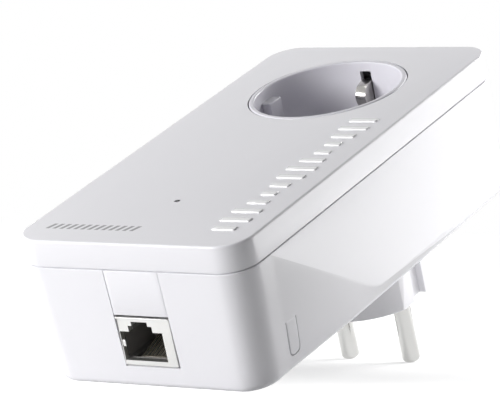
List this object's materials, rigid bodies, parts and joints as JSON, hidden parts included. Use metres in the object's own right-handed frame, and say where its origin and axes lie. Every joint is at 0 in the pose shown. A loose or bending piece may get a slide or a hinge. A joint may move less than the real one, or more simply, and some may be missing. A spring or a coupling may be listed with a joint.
{
  "type": "powerline adapter",
  "caption": "Plug-in powerline network adapter with an earthed socket in its face, an earthed plug on its back, a network jack in its end wall and a sprung side tab.",
  "frame": {"origin": "middle of the plug's end face, between the two pins", "axes": "+Z out of the socket face, -Z the way the plug goes in, +Y along the case from the network jack to the socket end, +X across the case"},
  "size_m": [0.066, 0.132, 0.0781],
  "materials": {
    "case": "glossy white moulded plastic",
    "label": "satin silver-grey label",
    "steel": "zinc plated",
    "plug_plastic": "white moulded plastic",
    "nickel": "bright nickel plate",
    "socket_plastic": "pale grey-white moulded plastic",
    "shutter_plastic": "satin",
    "contact_brass": "stamped",
    "jack_tin": "tin plated sheet",
    "jack_black": "satin",
    "gold": "gold plated",
    "board": "solder mask",
    "component_black": "moulded",
    "heat_sink": "extruded",
    "lamp": "moulded",
    "light_guide": "clear",
    "plunger": "moulded",
    "ferrite": "sintered",
    "winding_tape": "wound tape",
    "capacitor_sleeve": "shrink sleeve",
    "copper": "enamelled wire",
    "film_yellow": "moulded",
    "varistor_blue": "dipped",
    "fuse_brown": "moulded",
    "lead_blue": "insulation",
    "lead_brown": "insulation"
  },
  "bodies": {
    "case": {"front_cover": "case", "rear_shell": "case", "port_panel": "case", "rating_label": "label", "case_screw_near_left": "steel", "case_screw_near_right": "steel", "case_screw_far_left": "steel", "case_screw_far_right": "steel", "plug_base": "plug_plastic", "neutral_pin": "nickel", "live_pin": "nickel", "plug_earth_strip_near": "nickel", "plug_earth_strip_far": "nickel", "socket_cup": "socket_plastic", "shutter_spring": "steel", "neutral_contact": "contact_brass", "live_contact": "contact_brass", "earth_strap": "contact_brass", "jack_shield": "jack_tin", "jack_insulator": "jack_black", "main_board": "board", "network_magnetics": "component_black", "modem_chip": "component_black", "heat_sink": "heat_sink", "memory_chip": "component_black", "status_lamp": "lamp", "light_guide": "light_guide", "switch_body": "component_black", "line_transformer": "component_black", "transformer_core": "ferrite", "transformer_winding": "winding_tape", "bulk_capacitor": "capacitor_sleeve", "output_capacitor": "capacitor_sleeve", "mains_choke": "copper", "x_capacitor": "film_yellow", "varistor": "varistor_blue", "fuse": "fuse_brown", "line_coil_live": "copper", "line_coil_neutral": "copper", "neutral_lead": "lead_blue", "live_lead": "lead_brown"},
    "tab": {"pairing_tab": "case"},
    "plunger": {"switch_plunger": "plunger"},
    "shutter": {"socket_shutter": "shutter_plastic"},
    "clip_near": {"earth_clip_near": "nickel"},
    "clip_far": {"earth_clip_far": "nickel"},
    "contacts": {"jack_contacts": "gold"}
  },
  "joints": [
    {"name": "tab_press", "type": "hinge", "parent": "case", "child": "tab", "pos_m": [0.0305, -0.0838, 0.0332], "axis": [0, 1, 0], "range_deg": [0, 4], "stiffness_Nm_per_rad": 0.2},
    {"name": "plunger_press", "type": "slide", "parent": "case", "child": "plunger", "axis": [-1, 0, 0], "range_m": [0, 0.00035]},
    {"name": "shutter_turn", "type": "hinge", "parent": "case", "child": "shutter", "pos_m": [0, 0, 0.0376], "axis": [0, 0, -1], "range_deg": [0, 35], "stiffness_Nm_per_rad": 0.02},
    {"name": "clip_near_press", "type": "hinge", "parent": "case", "child": "clip_near", "pos_m": [0, -0.0223, 0.035], "axis": [1, 0, 0], "range_deg": [0, 5], "stiffness_Nm_per_rad": 1},
    {"name": "clip_far_press", "type": "hinge", "parent": "case", "child": "clip_far", "pos_m": [0, 0.0223, 0.035], "axis": [-1, 0, 0], "range_deg": [0, 5], "stiffness_Nm_per_rad": 1},
    {"name": "contacts_press", "type": "hinge", "parent": "case", "child": "contacts", "pos_m": [-0.0005, -0.0963, 0.0271], "axis": [-1, 0, 0], "range_deg": [0, 8], "stiffness_Nm_per_rad": 0.05}
  ],
  "couplings": [
    {"joint": "plunger_press", "follows": "tab_press", "m_per_rad": 0.005}
  ]
}
